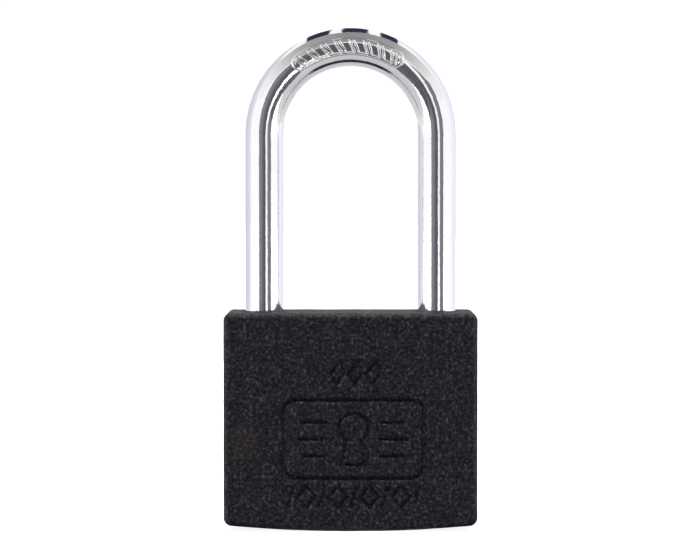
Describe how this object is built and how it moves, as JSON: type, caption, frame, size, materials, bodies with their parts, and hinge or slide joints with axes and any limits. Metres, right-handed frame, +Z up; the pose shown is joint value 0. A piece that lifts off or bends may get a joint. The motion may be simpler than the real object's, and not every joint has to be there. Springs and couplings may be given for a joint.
{
  "type": "padlock",
  "caption": "Block-bodied padlock with a long round shackle, turned by a key from below; the plug's cam draws two locking bolts and the shackle rises.",
  "frame": {"origin": "middle of the underside, at its lowest line, under the key plug's axis", "axes": "+Z up along the key plug's axis towards the shackle's arch; +X across the body to the toe leg, the one that leaves the body; -Y out of the front face"},
  "size_m": [0.05, 0.021, 0.0994],
  "materials": {
    "black_coating": "black wrinkle powder coating on a solid brass body",
    "chrome_plate": "polished chrome plate on hardened steel",
    "brass": "machined brass",
    "steel": "machined steel",
    "spring_steel": "drawn spring wire and strip"
  },
  "bodies": {
    "case": {"lock_body": "black_coating", "side_plug": "black_coating", "heel_retaining_pin": "steel", "cylinder_retaining_pin": "steel", "cylinder_shell": "brass", "pin_chamber_cover": "brass", "driver_pin_1": "brass", "driver_pin_2": "brass", "driver_pin_3": "brass", "driver_pin_4": "brass", "driver_pin_5": "brass", "pin_spring_1": "spring_steel", "pin_spring_2": "spring_steel", "pin_spring_3": "spring_steel", "pin_spring_4": "spring_steel", "pin_spring_5": "spring_steel", "shackle_spring": "spring_steel"},
    "plug": {"key_plug": "brass", "plug_retaining_clip": "spring_steel", "locking_cam": "steel", "key_pin_1": "brass", "key_pin_2": "brass", "key_pin_3": "brass", "key_pin_4": "brass", "key_pin_5": "brass"},
    "heel_bolt": {"locking_bolt_heel": "steel"},
    "toe_bolt": {"locking_bolt_toe": "steel"},
    "shackle": {"shackle": "chrome_plate"}
  },
  "joints": [
    {"name": "plug_turn", "type": "hinge", "parent": "case", "child": "plug", "pos_m": [0, 0, 0], "axis": [0, 0, 1], "range_deg": [0, 90]},
    {"name": "shackle_lift", "type": "slide", "parent": "case", "child": "shackle", "axis": [0, 0, 1], "range_m": [0, 0.011], "deforming": ["shackle_spring"]},
    {"name": "heel_bolt_slide", "type": "slide", "parent": "case", "child": "heel_bolt", "axis": [1, 0, 0], "range_m": [0, 0.004]},
    {"name": "toe_bolt_slide", "type": "slide", "parent": "case", "child": "toe_bolt", "axis": [-1, 0, 0], "range_m": [0, 0.004]}
  ],
  "couplings": [
    {"joint": "plug_turn", "follows": "shackle_lift", "rad_per_m": 142.79},
    {"joint": "heel_bolt_slide", "follows": "shackle_lift", "ratio": 0.3636},
    {"joint": "toe_bolt_slide", "follows": "shackle_lift", "ratio": 0.3636}
  ]
}
